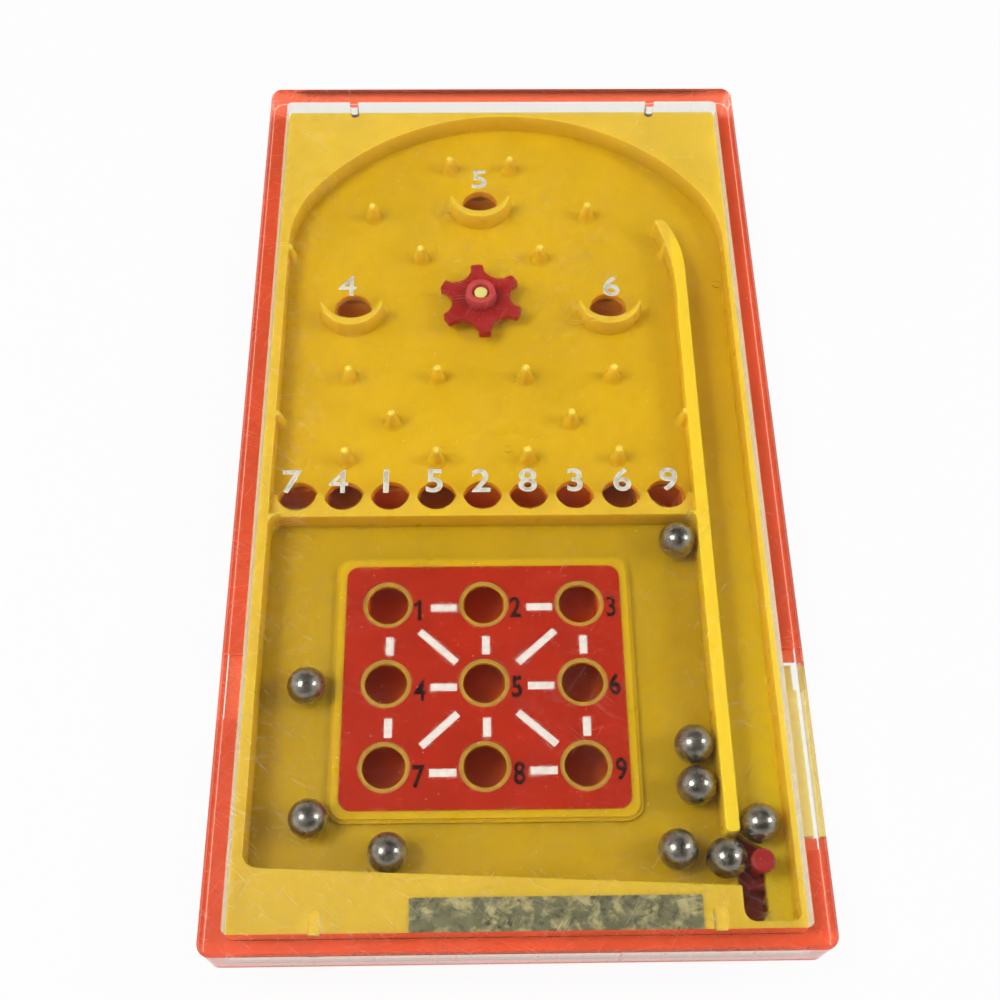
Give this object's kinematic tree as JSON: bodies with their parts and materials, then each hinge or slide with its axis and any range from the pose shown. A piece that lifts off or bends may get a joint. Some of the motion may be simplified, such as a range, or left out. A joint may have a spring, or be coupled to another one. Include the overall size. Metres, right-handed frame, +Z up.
{
  "type": "pocket ball game",
  "caption": "Flat hand-held ball game: clear cover, yellow playfield with pins, cups and star, a spring launcher, and channels that lead balls to numbered windows.",
  "frame": {"origin": "middle of the underside, on the table", "axes": "+Z up through the clear cover, +Y from the near end to the arched far end, +X to the launching lane's side"},
  "size_m": [0.0662, 0.12, 0.015],
  "materials": {
    "body_red": "moulded, orange red, smooth",
    "field_yellow": "moulded, translucent golden yellow",
    "cover_clear": "clear moulded plastic, finely scratched",
    "panel_red": "printed red panel, matt",
    "foil": "worn foil strip, blank",
    "star_red": "moulded, deep red",
    "launcher_red": "moulded, red",
    "spring_steel": "drawn wire",
    "ball_steel": "polished steel"
  },
  "bodies": {
    "case": {"base_tray": "body_red", "playfield": "field_yellow", "clear_cover": "cover_clear", "grid_label": "panel_red", "foil_strip": "foil", "launcher_spring": "spring_steel"},
    "star": {"star_spinner": "star_red"},
    "launcher": {"launcher_slide": "launcher_red"},
    "steel_ball_1": {"ball_1": "ball_steel"},
    "steel_ball_2": {"ball_2": "ball_steel"},
    "steel_ball_3": {"ball_3": "ball_steel"},
    "steel_ball_4": {"ball_4": "ball_steel"},
    "steel_ball_5": {"ball_5": "ball_steel"},
    "steel_ball_6": {"ball_6": "ball_steel"},
    "steel_ball_7": {"ball_7": "ball_steel"},
    "steel_ball_8": {"ball_8": "ball_steel"},
    "steel_ball_9": {"ball_9": "ball_steel"}
  },
  "joints": [
    {"name": "star_spin", "type": "hinge", "parent": "case", "child": "star", "pos_m": [-0.0033, 0.02485, 0.0109], "axis": [0, 0, 1], "continuous": true},
    {"name": "launcher_pull", "type": "slide", "parent": "case", "child": "launcher", "axis": [0, 1, 0], "range_m": [-0.0042, 0], "stiffness_N_per_m": 250, "deforming": ["launcher_spring"]},
    {"name": "ball_1_roll", "type": "slide", "parent": "case", "child": "steel_ball_1", "axis": [0, 1, 0], "range_m": [-0.013, 0]},
    {"name": "ball_2_roll", "type": "slide", "parent": "case", "child": "steel_ball_2", "axis": [0, 1, 0], "range_m": [0, 0.017]},
    {"name": "ball_3_roll", "type": "slide", "parent": "case", "child": "steel_ball_3", "axis": [0, 1, 0], "range_m": [0, 0.0073]},
    {"name": "ball_4_roll", "type": "slide", "parent": "case", "child": "steel_ball_4", "axis": [0, 1, 0], "range_m": [-0.002, 0]},
    {"name": "ball_5_roll", "type": "slide", "parent": "case", "child": "steel_ball_5", "axis": [0, 1, 0], "range_m": [0, 0.07]},
    {"name": "ball_6_roll", "type": "slide", "parent": "case", "child": "steel_ball_6", "axis": [1, 0, 0], "range_m": [-0.014, 0]},
    {"name": "ball_7_roll", "type": "slide", "parent": "case", "child": "steel_ball_7", "axis": [1, 0, 0], "range_m": [-0.0004, 0]},
    {"name": "ball_8_roll", "type": "slide", "parent": "case", "child": "steel_ball_8", "axis": [0, 1, 0], "range_m": [0, 0.009]},
    {"name": "ball_9_roll", "type": "slide", "parent": "case", "child": "steel_ball_9", "axis": [1, 0, 0], "range_m": [0, 0.012]}
  ]
}
